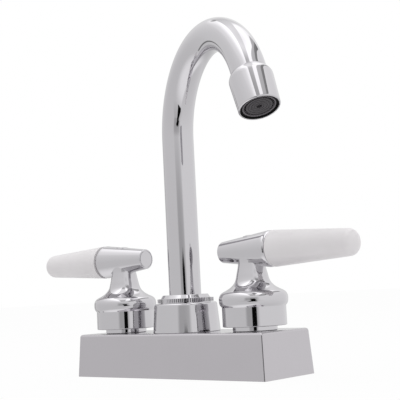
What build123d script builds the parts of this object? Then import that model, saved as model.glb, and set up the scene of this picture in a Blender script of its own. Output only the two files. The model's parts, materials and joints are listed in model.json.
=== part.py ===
from build123d import *
import os
from math import cos, radians, sin, tan

# Two-handle bar faucet for two deck holes on four-inch centres, with a swivelling gooseneck spout.
# Millimetres. +Z is up, Z = 0 is the deck, X runs through the two hubs and the user stands at -Y.

# Deck and base
hub_spacing = 101.6
end_margin = 21.85
base_depth = 47
base_setback = 1.1
base_height = 25.5
base_draft = 3
base_wall = 2.2
base_edge_r = 1.6
boss_depth = 1.3
gasket_thickness = 3
gasket_inset = 0.35
deck_thickness = 12

# Inlet shanks, which carry a 1/2-14 straight pipe thread, and the valve bodies above them
shank_r = 10.47
shank_length = 50
shank_bore_r = 6.3
shank_chamfer = 1
coupling_length = 19
relief_width = 2
relief_depth = 1.1
flange_width = 2.4
flange_thickness = 2.5
body_shoulder = 2.4
neck_wall = 2
neck_rise = 6.5
chamber_floor_rise = 0.5
collar_nut_wall = 2.35
collar_nut_height = 4.8
lock_nut_wall = 3.8
lock_nut_height = 6
washer_width = 5.5
washer_thickness = 1.6

# Cross tubes between the valve bodies and the spout post
cross_tube_r = 4.76
cross_tube_wall = 0.8
tube_socket_depth = 3.4

# Quarter-turn cartridges
cartridge_wall = 1.55
cartridge_flange = 1.6
disc_r = 6.5
disc_thickness = 2.5
disc_port_r = 2
disc_port_offset = 3.4
seat_gasket_thickness = 1.8
seat_gasket_lip = 0.8
bonnet_wall = 1.75
bonnet_plate = 3.2
stem_r = 4
stem_square = 5.6
stem_carrier = 2.5

# Handles: a hollow bell, a neck and a tapered barrel in one casting, and a white lever
skirt_gap = 2.6
skirt_clearance = 2.4
skirt_height = 10.8
skirt_wall = 1.8
skirt_chamfer = 0.4
bead_bulge = 1.4
bead_rise = 3.5
crown_rise = 7.6
throat_drop = 4.4
throat_reach = 4
waist_reach = 1.4
waist_drop = 7
throat_r = 7.5
barrel_axis_rise = 42.2
barrel_small_r = 6.05
barrel_big_r = 10.5
barrel_inner_length = 19.8
barrel_outer_length = 16.5
barrel_edge = 0.4
barrel_lip_r = 1.6
lever_step = 0.3
lever_edge = 0.8
lever_tip_r = 7.35
lever_corner_r = 4.8
lever_corner_turn = 60
lever_reach = 70.4
lever_spigot_step = 2.55
lever_spigot_length = 8.4
stud_r = 2.45
stud_length = 24
plug_r = 4
plug_height = 3.6
plug_dome = 0.8
screw_r = 1.65
screw_head_r = 3.4
screw_head_height = 2.6
screw_slot = 0.8
screw_slot_depth = 1.2
screw_bite = 10

# Spout: a bent tube brazed into a grooved tail, held down by a knurled nut
tube_r = 9.525
tube_wall = 0.9
bend_start = 115.5
bend_r = 50
bend_angle = 156
spout_swing = -25
tail_wall = 2.3
tail_flange = 1.2
tail_flange_height = 4.9
tail_seat_rise = 12.6
tail_length = 12
tail_ledge = 1
o_ring_r = 0.58
post_wall = 1.8
post_shoulder = 1.6
post_neck_rise = 19
post_floor = 4
collar_rise = 17
collar_margin = 1.9
collar_wall = 2
collar_draft = 4.7
collar_flange = 2
collar_edge_r = 1.3
nut_wall = 1.75
nut_band = 3.4
nut_step = 1.4
nut_step_inset = 2.8
nut_bevel = 0.6
knurl_count = 96
knurl_depth = 0.35
glide_thickness = 1.6

# Outlet cup and aerator, along the outlet's own axis from the end of the bend
cup_start = 1.5
cup_shoulder_end = 5.8
cup_length = 24.2
cup_bulge = 2.3
cup_brow = 0.3
cup_taper = 0.65
cup_lip_r = 0.9
cup_socket_end = 7.5
cup_ledge = 0.8
cup_bore_margin = 0.5
aerator_washer_thickness = 1.5
aerator_washer_width = 3.4
aerator_recess = 1.6
aerator_rim = 1.3
aerator_ring_width = 0.75
aerator_ring_height = 4.7
screen_recess = 2.2
screen_ledge = 1
screen_thickness = 0.8
screen_hole_r = 0.7
mixer_plate = 1.5
mixer_setback = 1

# Clearances
slip = 0.05
gap = 0.3
play = 0.1

# Levels and positions worked out from the sizes above
hub_x = hub_spacing / 2
base_length = hub_spacing + 2 * end_margin
cartridge_r = disc_r + play + cartridge_wall
chamber_r = cartridge_r + slip
neck_r = chamber_r + neck_wall
valve_body_r = neck_r + body_shoulder
flange_r = valve_body_r + flange_width
collar_nut_r = neck_r + slip + collar_nut_wall
bonnet_flats = 2 * (neck_r + slip + bonnet_wall)
shoulder_z = base_height - base_wall - boss_depth
flange_top = gasket_thickness + flange_thickness
chamber_floor = flange_top + chamber_floor_rise
port_z = (flange_top + shoulder_z) / 2
neck_top = base_height + neck_rise
skirt_z = base_height + skirt_gap
barrel_z = skirt_z + barrel_axis_rise
barrel_slope = (barrel_big_r - barrel_small_r) / (barrel_inner_length + barrel_outer_length)
barrel_mid_r = barrel_small_r + barrel_slope * barrel_inner_length
skirt_inner_r = bonnet_flats / 2 / cos(radians(30)) + skirt_clearance
skirt_r = skirt_inner_r + skirt_wall
lever_root_r = barrel_big_r - lever_step
lever_spigot_r = lever_root_r - lever_spigot_step
lock_washer_z = -deck_thickness - washer_thickness
tail_r = tube_r + tail_wall
tail_flange_r = tail_r + tail_flange
post_neck_r = tail_flange_r + play + post_wall
post_r = post_neck_r + post_shoulder
tail_seat_z = base_height + tail_seat_rise
tail_foot_z = tail_seat_z - tail_length
collar_top_z = base_height + collar_rise
nut_r = post_neck_r + slip + nut_wall
collar_top_r = nut_r + collar_margin
collar_foot_r = collar_top_r + collar_rise * tan(radians(collar_draft))
cup_bore_r = tube_r + cup_bore_margin


def save(piece, label):
    """Name a finished piece and write it to its own file."""
    piece.part.label = label
    export_step(piece.part, f"parts/{label}.step")


def upright(frame):
    """The plane through a frame's axis on which a turned profile is drawn: radius, then height."""
    return Plane(origin=frame.origin, x_dir=frame.x_dir, z_dir=-frame.y_dir)


def turn(frame):
    """Turn the drawn profile about a frame's own axis."""
    revolve(axis=Axis(frame.origin, frame.z_dir))


os.makedirs("parts", exist_ok=True)
centre = Plane.XY
hubs = {
    "left": Plane(origin=(-hub_x, 0, 0), x_dir=(-1, 0, 0), z_dir=(0, 0, 1)),
    "right": Plane(origin=(hub_x, 0, 0), x_dir=(1, 0, 0), z_dir=(0, 0, 1)),
}

# Base shell: a drafted box, open below and set back a little from the hubs' line, with a seat ring
# under each of its three holes
with BuildPart() as base_shell:
    with BuildSketch(Plane.XY):
        with Locations((0, base_setback)):
            Rectangle(base_length, base_depth)
    extrude(amount=base_height, taper=base_draft)
    rim = base_shell.faces().sort_by(Axis.Z)[0].edges()
    fillet(base_shell.edges() - rim, base_edge_r)
    with BuildSketch(Plane.XY):
        with Locations((0, base_setback)):
            Rectangle(base_length - 2 * base_wall, base_depth - 2 * base_wall)
    extrude(amount=base_height - base_wall, taper=base_draft, mode=Mode.SUBTRACT)
    with BuildSketch(Plane.XY.offset(shoulder_z)):
        with Locations((-hub_x, 0), (hub_x, 0)):
            Circle(valve_body_r + 1)
        Circle(post_r + 1)
    extrude(amount=boss_depth)
    with BuildSketch(Plane.XY.offset(shoulder_z)):
        with Locations((-hub_x, 0), (hub_x, 0)):
            Circle(neck_r + gap)
        Circle(post_neck_r + gap)
    extrude(amount=base_height - shoulder_z, mode=Mode.SUBTRACT)
save(base_shell, "base_shell")

# Deck gasket: a rubber plate inside the shell's rim, on which the valve bodies and the post stand
with BuildPart() as deck_gasket:
    with BuildSketch(Plane.XY):
        inset = 2 * (base_wall + gasket_inset + gasket_thickness * tan(radians(base_draft)))
        with Locations((0, base_setback)):
            RectangleRounded(base_length - inset, base_depth - inset, base_edge_r)
        with Locations((-hub_x, 0), (hub_x, 0)):
            Circle(shank_r + gap, mode=Mode.SUBTRACT)
    extrude(amount=gasket_thickness)
save(deck_gasket, "deck_gasket")

# Spout post: the centre casting, with a water chamber below and the bore in which the tail turns
with BuildPart() as spout_post:
    with BuildSketch(upright(centre)):
        with BuildLine():
            Polyline(
                (0, gasket_thickness),
                (post_r, gasket_thickness),
                (post_r, shoulder_z),
                (post_neck_r, shoulder_z),
                (post_neck_r, base_height + post_neck_rise),
                (tail_flange_r + play, base_height + post_neck_rise),
                (tail_flange_r + play, tail_seat_z),
                (tail_r + slip, tail_seat_z),
                (tail_r + slip, tail_foot_z - 1),
                (tube_r - tube_wall, tail_foot_z - 3),
                (tube_r - tube_wall, gasket_thickness + post_floor),
                (0, gasket_thickness + post_floor),
                close=True,
            )
        make_face()
    turn(centre)
    for frame in hubs.values():
        with BuildSketch(Plane(origin=(0, 0, port_z), z_dir=frame.x_dir)):
            Circle(cross_tube_r - cross_tube_wall)
        extrude(amount=post_r, mode=Mode.SUBTRACT)
        socket = Vector(0, 0, port_z) + frame.x_dir * (post_r - tube_socket_depth)
        with BuildSketch(Plane(origin=socket, z_dir=frame.x_dir)):
            Circle(cross_tube_r + slip)
        extrude(amount=tube_socket_depth, mode=Mode.SUBTRACT)
save(spout_post, "spout_post")

# Tapered collar: a thin sleeve over the post's neck, with an inward flange under the nut
with BuildPart() as spout_collar:
    with BuildSketch(upright(centre)):
        with BuildLine():
            Polyline(
                (collar_foot_r, base_height),
                (collar_top_r, collar_top_z),
                (post_neck_r + gap, collar_top_z),
                (post_neck_r + gap, collar_top_z - collar_flange),
                (collar_top_r - collar_wall, collar_top_z - collar_flange),
                (collar_foot_r - collar_wall, base_height),
                close=True,
            )
        make_face()
    turn(centre)
    fillet(spout_collar.edges().group_by(Axis.Z)[-1].sort_by(SortBy.LENGTH)[-1], collar_edge_r)
save(spout_collar, "spout_collar")

# Knurled nut: a fluted band with a bevelled step above it, round the foot of the tube
nut_top_z = collar_top_z + nut_band + nut_step
nut_seat_z = base_height + post_neck_rise + 2 * play
with BuildPart() as spout_nut:
    with BuildSketch(Plane.XY.offset(collar_top_z)):
        Circle(nut_r)
        with PolarLocations(nut_r, knurl_count):
            RegularPolygon(knurl_depth, 4, mode=Mode.SUBTRACT)
    extrude(amount=nut_band)
    with BuildSketch(upright(centre)):
        with BuildLine():
            Polyline(
                (tube_r + gap, collar_top_z + nut_band),
                (nut_r - nut_step_inset, collar_top_z + nut_band),
                (nut_r - nut_step_inset - nut_bevel, nut_top_z),
                (tube_r + gap, nut_top_z),
                close=True,
            )
        make_face()
    turn(centre)
    with BuildSketch(Plane.XY.offset(collar_top_z)):
        Circle(post_neck_r + slip)
    extrude(amount=nut_seat_z - collar_top_z, mode=Mode.SUBTRACT)
    with BuildSketch(Plane.XY.offset(nut_seat_z)):
        Circle(tube_r + gap)
    extrude(amount=nut_top_z - nut_seat_z, mode=Mode.SUBTRACT)
save(spout_nut, "spout_nut")

# Glide washer between the nut and the tail's flange
with BuildPart() as glide_washer:
    with BuildSketch(Plane.XY.offset(nut_seat_z - slip - glide_thickness)):
        Circle(tail_flange_r)
        Circle(tube_r + gap, mode=Mode.SUBTRACT)
    extrude(amount=glide_thickness)
save(glide_washer, "glide_washer")

# Spout tail: a grooved sleeve round the foot of the tube, with the flange that the nut holds down
groove_half = o_ring_r + play
groove_r = tail_r - 2 * o_ring_r - slip
groove_levels = (tail_foot_z + 3, tail_foot_z + 8)
with BuildPart() as spout_tail:
    with BuildSketch(upright(centre)):
        with BuildLine():
            Polyline(
                (tube_r - tube_wall, tail_foot_z),
                (tail_r, tail_foot_z),
                (tail_r, tail_seat_z + play),
                (tail_flange_r, tail_seat_z + play),
                (tail_flange_r, tail_seat_z + tail_flange_height - slip),
                (tube_r + slip, tail_seat_z + tail_flange_height - slip),
                (tube_r + slip, tail_foot_z + tail_ledge),
                (tube_r - tube_wall, tail_foot_z + tail_ledge),
                close=True,
            )
        make_face()
    turn(centre)
    for level in groove_levels:
        with BuildSketch(Plane.XY.offset(level - groove_half)):
            Circle(tail_r + 1)
            Circle(groove_r, mode=Mode.SUBTRACT)
        extrude(amount=2 * groove_half, mode=Mode.SUBTRACT)
save(spout_tail, "spout_tail")

with BuildPart() as spout_o_rings:
    with BuildSketch(upright(centre)):
        with Locations(*[(tail_r - o_ring_r, level) for level in groove_levels]):
            RegularPolygon(o_ring_r, 6)
    turn(centre)
save(spout_o_rings, "spout_o_rings")

# Gooseneck tube: straight riser, one round bend and a short straight end inside the cup
swing = Vector(cos(radians(spout_swing)), sin(radians(spout_swing)), 0)
spout_plane = Plane(origin=(0, 0, 0), x_dir=swing, z_dir=swing.cross(Vector(0, 0, 1)))
bend_z = base_height + bend_start
with BuildPart() as spout_tube:
    with BuildLine(spout_plane) as spout_path:
        Line((0, tail_foot_z + tail_ledge), (0, bend_z))
        bend = JernArc(start=(0, bend_z), tangent=(0, 1), radius=bend_r, arc_size=-bend_angle)
        Line(bend @ 1, bend @ 1 + (bend % 1) * cup_socket_end)
    with BuildSketch(centre.offset(tail_foot_z + tail_ledge)):
        Circle(tube_r)
        Circle(tube_r - tube_wall, mode=Mode.SUBTRACT)
    sweep()
save(spout_tube, "spout_tube")

# Outlet cup and aerator share a frame at the end of the bend, with its axis along the water's way out
outlet_dir = swing * sin(radians(bend_angle)) + Vector(0, 0, cos(radians(bend_angle)))
outlet_origin = swing * (bend_r * (1 - cos(radians(bend_angle))))
outlet_origin += Vector(0, 0, bend_z + bend_r * sin(radians(bend_angle)))
outlet_side = swing * cos(radians(bend_angle)) - Vector(0, 0, sin(radians(bend_angle)))
outlet = Plane(origin=outlet_origin, x_dir=outlet_side, z_dir=outlet_dir)
cup_r = tube_r + cup_bulge
cup_mouth_r = cup_r - cup_taper
chamber_start = cup_socket_end + cup_ledge

# Outlet cup: a rounded shoulder, a slightly tapered wall and a rolled lip, brazed on the tube
with BuildPart() as outlet_cup:
    with BuildSketch(upright(outlet)):
        with BuildLine():
            brow = Line((tube_r + slip, cup_start), (tube_r + cup_brow, cup_start))
            wall = Line((cup_r, cup_shoulder_end), (cup_mouth_r, cup_length - cup_lip_r))
            TangentArc(wall @ 0, brow @ 1, tangent=wall % 0 * -1)
            lip = (cup_mouth_r - cup_lip_r, cup_length)
            RadiusArc((cup_mouth_r, cup_length - cup_lip_r), lip, -cup_lip_r)
            Polyline(
                lip,
                (cup_bore_r, cup_length - cup_lip_r / 2),
                (cup_bore_r, chamber_start),
                (tube_r - tube_wall, chamber_start),
                (tube_r - tube_wall, cup_socket_end),
                (tube_r + slip, cup_socket_end),
                (tube_r + slip, cup_start),
            )
        make_face()
    turn(outlet)
save(outlet_cup, "outlet_cup")

housing_r = cup_bore_r - slip
housing_start = chamber_start + aerator_washer_thickness
housing_end = cup_length - aerator_recess
ring_start = housing_end - play - aerator_ring_height
rim_r = housing_r - aerator_ring_width
screen_r = rim_r - aerator_rim
screen_start = housing_end - screen_recess

with BuildPart() as aerator_washer:
    with BuildSketch(outlet.offset(chamber_start)):
        Circle(housing_r)
        Circle(housing_r - aerator_washer_width, mode=Mode.SUBTRACT)
    extrude(amount=aerator_washer_thickness)
save(aerator_washer, "aerator_washer")

# Aerator housing: threaded above, stepped in below for the rubber ring, with a ledge for the screen
with BuildPart() as aerator_housing:
    with BuildSketch(upright(outlet)):
        with BuildLine():
            Polyline(
                (housing_r, housing_start),
                (housing_r, ring_start),
                (rim_r, ring_start),
                (rim_r, housing_end),
                (screen_r + slip, housing_end),
                (screen_r + slip, screen_start),
                (screen_r - screen_ledge, screen_start),
                (screen_r - screen_ledge, housing_start),
                close=True,
            )
        make_face()
    turn(outlet)
save(aerator_housing, "aerator_housing")

with BuildPart() as aerator_ring:
    with BuildSketch(outlet.offset(ring_start + slip)):
        Circle(housing_r)
        Circle(rim_r + slip, mode=Mode.SUBTRACT)
    extrude(amount=aerator_ring_height - slip)
save(aerator_ring, "aerator_ring")

# Aerator screen: a holed disc on the housing's ledge, with a solid centre
with BuildPart() as aerator_screen:
    with BuildSketch(outlet.offset(screen_start)):
        Circle(screen_r)
        for row in (1, 2, 3):
            with PolarLocations(row * screen_r / 3.6, 6 * row):
                RegularPolygon(screen_hole_r, 6, mode=Mode.SUBTRACT)
    extrude(amount=screen_thickness)
save(aerator_screen, "aerator_screen")

# Air mixer: a holed plate with a cone below it, held in the housing above the screen
mixer_r = screen_r - screen_ledge - slip
mixer_start = housing_start + mixer_setback
mixer_end = screen_start - gap
with BuildPart() as aerator_mixer:
    with BuildSketch(upright(outlet)):
        with BuildLine():
            Polyline(
                (0, mixer_start),
                (mixer_r, mixer_start),
                (mixer_r, mixer_start + mixer_plate),
                (mixer_r / 2, mixer_start + mixer_plate),
                (mixer_r / 6, mixer_end),
                (0, mixer_end),
                close=True,
            )
        make_face()
    turn(outlet)
    with BuildSketch(outlet.offset(mixer_start)):
        with PolarLocations(0.77 * mixer_r, 6):
            Circle(0.13 * mixer_r)
    extrude(amount=mixer_plate, mode=Mode.SUBTRACT)
save(aerator_mixer, "aerator_mixer")

for side, hub in hubs.items():
    inward = -hub.x_dir

    # Valve body: threaded shank, flange on the gasket, body with a side port, neck through the base
    with BuildPart() as valve_body:
        with BuildSketch(upright(hub)):
            with BuildLine():
                relief_z = coupling_length - shank_length
                Polyline(
                    (shank_bore_r, -shank_length),
                    (shank_r - shank_chamfer, -shank_length),
                    (shank_r, shank_chamfer - shank_length),
                    (shank_r, relief_z),
                    (shank_r - relief_depth, relief_z),
                    (shank_r - relief_depth, relief_z + relief_width),
                    (shank_r, relief_z + relief_width),
                    (shank_r, gasket_thickness),
                    (flange_r, gasket_thickness),
                    (flange_r, flange_top),
                    (valve_body_r, flange_top),
                    (valve_body_r, shoulder_z),
                    (neck_r, shoulder_z),
                    (neck_r, neck_top),
                    (chamber_r, neck_top),
                    (chamber_r, chamber_floor),
                    (shank_bore_r, chamber_floor),
                    close=True,
                )
            make_face()
        turn(hub)
        port = Vector(*hub.origin) + Vector(0, 0, port_z)
        with BuildSketch(Plane(origin=port, z_dir=inward)):
            Circle(cross_tube_r - cross_tube_wall)
        extrude(amount=valve_body_r, mode=Mode.SUBTRACT)
        tube_start = valve_body_r - tube_socket_depth
        with BuildSketch(Plane(origin=port + inward * tube_start, z_dir=inward)):
            Circle(cross_tube_r + slip)
        extrude(amount=tube_socket_depth, mode=Mode.SUBTRACT)
    save(valve_body, f"valve_body_{side}")

    with BuildPart() as cross_tube:
        with BuildSketch(Plane(origin=port + inward * tube_start, z_dir=inward)):
            Circle(cross_tube_r)
            Circle(cross_tube_r - cross_tube_wall, mode=Mode.SUBTRACT)
        extrude(amount=hub_x - tube_start - post_r + tube_socket_depth)
    save(cross_tube, f"cross_tube_{side}")

    # Ring nut that clamps the base shell on the valve body: the low collar seen under the skirt
    with BuildPart() as collar_nut:
        with BuildSketch(hub.offset(base_height)):
            Circle(collar_nut_r)
            Circle(neck_r + slip, mode=Mode.SUBTRACT)
        extrude(amount=collar_nut_height)
        chamfer(collar_nut.edges().group_by(Axis.Z)[-1].sort_by(SortBy.LENGTH)[-1], 0.5)
    save(collar_nut, f"collar_nut_{side}")

    with BuildPart() as deck_washer:
        with BuildSketch(hub.offset(lock_washer_z)):
            Circle(shank_r + gap + washer_width)
            Circle(shank_r + gap, mode=Mode.SUBTRACT)
        extrude(amount=washer_thickness)
    save(deck_washer, f"deck_washer_{side}")

    with BuildPart() as lock_nut:
        with BuildSketch(hub.offset(lock_washer_z - lock_nut_height)):
            RegularPolygon(shank_r + slip + lock_nut_wall, 6, major_radius=False)
            Circle(shank_r + slip, mode=Mode.SUBTRACT)
        extrude(amount=lock_nut_height)
    save(lock_nut, f"lock_nut_{side}")

    # Cartridge housing: flanged sleeve in the chamber, with a side window towards the cross tube
    carrier_top = chamber_floor + seat_gasket_thickness + 2 * disc_thickness + stem_carrier + 2 * slip
    with BuildPart() as cartridge:
        with BuildSketch(upright(hub)):
            with BuildLine():
                Polyline(
                    (disc_r + play, chamber_floor + seat_gasket_thickness),
                    (cartridge_r, chamber_floor + seat_gasket_thickness),
                    (cartridge_r, neck_top),
                    (neck_r - play, neck_top),
                    (neck_r - play, neck_top + cartridge_flange),
                    (stem_r + slip, neck_top + cartridge_flange),
                    (stem_r + slip, carrier_top + 3),
                    (disc_r + play, carrier_top + 1),
                    close=True,
                )
            make_face()
        turn(hub)
        with BuildSketch(Plane(origin=port, z_dir=inward)):
            Circle(cross_tube_r - cross_tube_wall - gap)
        extrude(amount=chamber_r, mode=Mode.SUBTRACT)
    save(cartridge, f"cartridge_{side}")

    with BuildPart() as seat_gasket:
        with BuildSketch(hub.offset(chamber_floor)):
            Circle(cartridge_r)
            Circle(shank_bore_r - seat_gasket_lip, mode=Mode.SUBTRACT)
        extrude(amount=seat_gasket_thickness)
    save(seat_gasket, f"seat_gasket_{side}")

    # Ceramic discs: two round ports in the fixed disc, and the same ports a quarter turn on above it
    disc_z = chamber_floor + seat_gasket_thickness
    with BuildPart() as fixed_disc:
        with BuildSketch(hub.offset(disc_z)):
            Circle(disc_r)
            with PolarLocations(disc_port_offset, 2):
                Circle(disc_port_r, mode=Mode.SUBTRACT)
        extrude(amount=disc_thickness)
    save(fixed_disc, f"fixed_disc_{side}")

    with BuildPart() as moving_disc:
        with BuildSketch(hub.offset(disc_z + disc_thickness + slip)):
            Circle(disc_r)
            with PolarLocations(disc_port_offset, 2, start_angle=90):
                Circle(disc_port_r, mode=Mode.SUBTRACT)
        extrude(amount=disc_thickness)
    save(moving_disc, f"moving_disc_{side}")

    # Bonnet nut: hexagonal cap over the neck, which holds the cartridge down
    bonnet_z = base_height + collar_nut_height + play
    bonnet_seat = neck_top + cartridge_flange
    with BuildPart() as bonnet_nut:
        with BuildSketch(hub.offset(bonnet_z)):
            RegularPolygon(bonnet_flats / 2, 6, major_radius=False)
        extrude(amount=bonnet_seat + bonnet_plate - bonnet_z)
        with BuildSketch(hub.offset(bonnet_z)):
            Circle(neck_r + slip)
        extrude(amount=bonnet_seat - bonnet_z, mode=Mode.SUBTRACT)
        with BuildSketch(hub.offset(bonnet_seat)):
            Circle(stem_r + gap)
        extrude(amount=bonnet_plate, mode=Mode.SUBTRACT)
    save(bonnet_nut, f"bonnet_nut_{side}")

    # Stem: carrier on the moving disc, round spindle with an O-ring groove, square top with a tapped hole
    carrier_z = disc_z + 2 * disc_thickness + slip
    square_z = skirt_z + 18
    stem_top = barrel_z - barrel_mid_r - 2
    o_ring_z = carrier_top + 8
    with BuildPart() as stem:
        with BuildSketch(upright(hub)):
            with BuildLine():
                Polyline(
                    (0, carrier_z),
                    (disc_r - play, carrier_z),
                    (disc_r - play, carrier_z + stem_carrier),
                    (stem_r, carrier_z + stem_carrier),
                    (stem_r, o_ring_z - groove_half),
                    (stem_r - 2 * o_ring_r - slip, o_ring_z - groove_half),
                    (stem_r - 2 * o_ring_r - slip, o_ring_z + groove_half),
                    (stem_r, o_ring_z + groove_half),
                    (stem_r, square_z),
                    (0, square_z),
                    close=True,
                )
            make_face()
        turn(hub)
        with BuildSketch(hub.offset(square_z)):
            Rectangle(stem_square, stem_square)
        extrude(amount=stem_top - square_z)
        with BuildSketch(hub.offset(square_z)):
            Circle(screw_r + slip)
        extrude(amount=stem_top - square_z, mode=Mode.SUBTRACT)
    save(stem, f"stem_{side}")

    with BuildPart() as stem_o_ring:
        with BuildSketch(upright(hub)):
            with Locations((stem_r - o_ring_r, o_ring_z)):
                RegularPolygon(o_ring_r, 6)
        turn(hub)
    save(stem_o_ring, f"stem_o_ring_{side}")

    # Handle casting: the bell's outside is one turned profile, the barrel another, then they are hollowed
    barrel = Plane(origin=Vector(*hub.origin) + Vector(0, 0, barrel_z), x_dir=(0, 0, 1), z_dir=hub.x_dir)
    screw_seat = barrel_z + barrel_mid_r - plug_height - screw_head_height - gap
    stud_start = plug_r + 1.3
    with BuildPart() as handle:
        with BuildSketch(upright(hub)):
            with BuildLine():
                skirt_top = skirt_z + skirt_height
                crown = (skirt_r, skirt_top + crown_rise)
                throat = (throat_r + throat_reach, skirt_top + crown_rise + throat_drop)
                throat_top = (throat_r, barrel_z - barrel_small_r - 1)
                Polyline(
                    (0, skirt_z),
                    (skirt_r - skirt_chamfer, skirt_z),
                    (skirt_r, skirt_z + skirt_chamfer),
                    (skirt_r, skirt_top),
                )
                ThreePointArc((skirt_r, skirt_top), (skirt_r + bead_bulge, skirt_top + bead_rise), crown)
                SagittaArc(crown, throat, -0.4)
                ThreePointArc(throat, (throat_r + waist_reach, throat_top[1] - waist_drop), throat_top)
                Polyline(throat_top, (throat_r, barrel_z), (0, barrel_z), (0, skirt_z))
            make_face()
        turn(hub)
        with BuildSketch(upright(barrel)):
            with BuildLine():
                Polyline(
                    (0, -barrel_inner_length),
                    (barrel_small_r - barrel_edge, -barrel_inner_length),
                    (barrel_small_r, barrel_edge - barrel_inner_length),
                    (barrel_big_r, barrel_outer_length - barrel_lip_r),
                )
                RadiusArc(
                    (barrel_big_r, barrel_outer_length - barrel_lip_r),
                    (barrel_big_r - barrel_lip_r, barrel_outer_length),
                    -barrel_lip_r,
                )
                Polyline(
                    (barrel_big_r - barrel_lip_r, barrel_outer_length),
                    (0, barrel_outer_length),
                    (0, -barrel_inner_length),
                )
            make_face()
        turn(barrel)
        with BuildSketch(upright(hub)):
            with BuildLine():
                dome_top = skirt_top + crown_rise + skirt_wall
                Polyline(
                    (0, skirt_z),
                    (skirt_inner_r, skirt_z),
                    (skirt_inner_r, skirt_top + bead_rise),
                    (skirt_inner_r - 2 * skirt_wall, skirt_top + crown_rise),
                    (stem_r + 1, dome_top),
                    (0, dome_top),
                    close=True,
                )
            make_face()
        revolve(axis=Axis(hub.origin, hub.z_dir), mode=Mode.SUBTRACT)
        with BuildSketch(hub.offset(skirt_z)):
            Rectangle(stem_square + 2 * slip, stem_square + 2 * slip)
        extrude(amount=stem_top + play - skirt_z, mode=Mode.SUBTRACT)
        with BuildSketch(hub.offset(stem_top)):
            Circle(screw_r + gap)
        extrude(amount=screw_seat - stem_top, mode=Mode.SUBTRACT)
        with BuildSketch(hub.offset(screw_seat)):
            Circle(plug_r + slip)
        extrude(amount=barrel_big_r * 2, mode=Mode.SUBTRACT)
        with BuildSketch(barrel.offset(barrel_outer_length - lever_spigot_length - play)):
            Circle(lever_spigot_r + slip)
        extrude(amount=lever_spigot_length + play, mode=Mode.SUBTRACT)
        with BuildSketch(barrel.offset(stud_start - gap)):
            Circle(stud_r + slip)
        extrude(amount=barrel_outer_length - stud_start, mode=Mode.SUBTRACT)
    save(handle, f"handle_{side}")

    # Lever: spigot in the barrel's socket, tapered grip and domed tip, with a blind hole for the stud
    lever_start = barrel_outer_length + play
    cap_r = (lever_tip_r - lever_corner_r) / cos(radians(lever_corner_turn)) + lever_corner_r
    cap_z = lever_reach - cap_r
    corner_z = cap_z + (lever_tip_r - lever_corner_r) * tan(radians(lever_corner_turn))
    cap_edge = (cap_r * cos(radians(lever_corner_turn)), cap_z + cap_r * sin(radians(lever_corner_turn)))
    with BuildPart() as lever:
        with BuildSketch(upright(barrel)):
            with BuildLine():
                Polyline(
                    (0, lever_start - lever_spigot_length),
                    (lever_spigot_r, lever_start - lever_spigot_length),
                    (lever_spigot_r, lever_start),
                    (lever_root_r - lever_edge, lever_start),
                    (lever_root_r, lever_start + lever_edge),
                    (lever_tip_r, corner_z),
                )
                RadiusArc((lever_tip_r, corner_z), cap_edge, -lever_corner_r)
                RadiusArc(cap_edge, (0, lever_reach), -cap_r)
                Line((0, lever_reach), (0, lever_start - lever_spigot_length))
            make_face()
        turn(barrel)
        with BuildSketch(barrel.offset(lever_start - lever_spigot_length)):
            Circle(stud_r + slip)
        extrude(amount=stud_length, mode=Mode.SUBTRACT)
    save(lever, f"lever_{side}")

    with BuildPart() as lever_stud:
        with BuildSketch(barrel.offset(stud_start)):
            Circle(stud_r)
        extrude(amount=lever_start - lever_spigot_length - stud_start + stud_length - gap)
    save(lever_stud, f"lever_stud_{side}")

    # Handle screw with a crossed slot in its head, down the neck into the stem
    with BuildPart() as handle_screw:
        with BuildSketch(hub.offset(stem_top - screw_bite)):
            Circle(screw_r)
        extrude(amount=screw_seat - stem_top + screw_bite)
        with BuildSketch(hub.offset(screw_seat)):
            Circle(screw_head_r)
        extrude(amount=screw_head_height)
        with BuildSketch(hub.offset(screw_seat + screw_head_height - screw_slot_depth)):
            Rectangle(1.2 * screw_head_r, screw_slot)
            Rectangle(screw_slot, 1.2 * screw_head_r)
        extrude(amount=screw_slot_depth, mode=Mode.SUBTRACT)
    save(handle_screw, f"handle_screw_{side}")

    # Index plug: a domed button over the screw, just proud of the barrel
    plug_z = screw_seat + screw_head_height + gap
    with BuildPart() as index_plug:
        with BuildSketch(upright(hub)):
            with BuildLine():
                dome_edge = (plug_r, plug_z + plug_height)
                dome_peak = (0, plug_z + plug_height + plug_dome)
                Polyline(dome_peak, (0, plug_z), (plug_r, plug_z), dome_edge)
                RadiusArc(dome_edge, dome_peak, -(plug_r**2 + plug_dome**2) / 2 / plug_dome)
            make_face()
        turn(hub)
    save(index_plug, f"index_plug_{side}")
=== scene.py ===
import json
from math import acos, atan2, cos, pi, radians, sin, tan

import bmesh
import bpy
from bpy.props import FloatProperty, FloatVectorProperty, IntProperty, PointerProperty
from mathutils import Matrix, Vector


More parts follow.
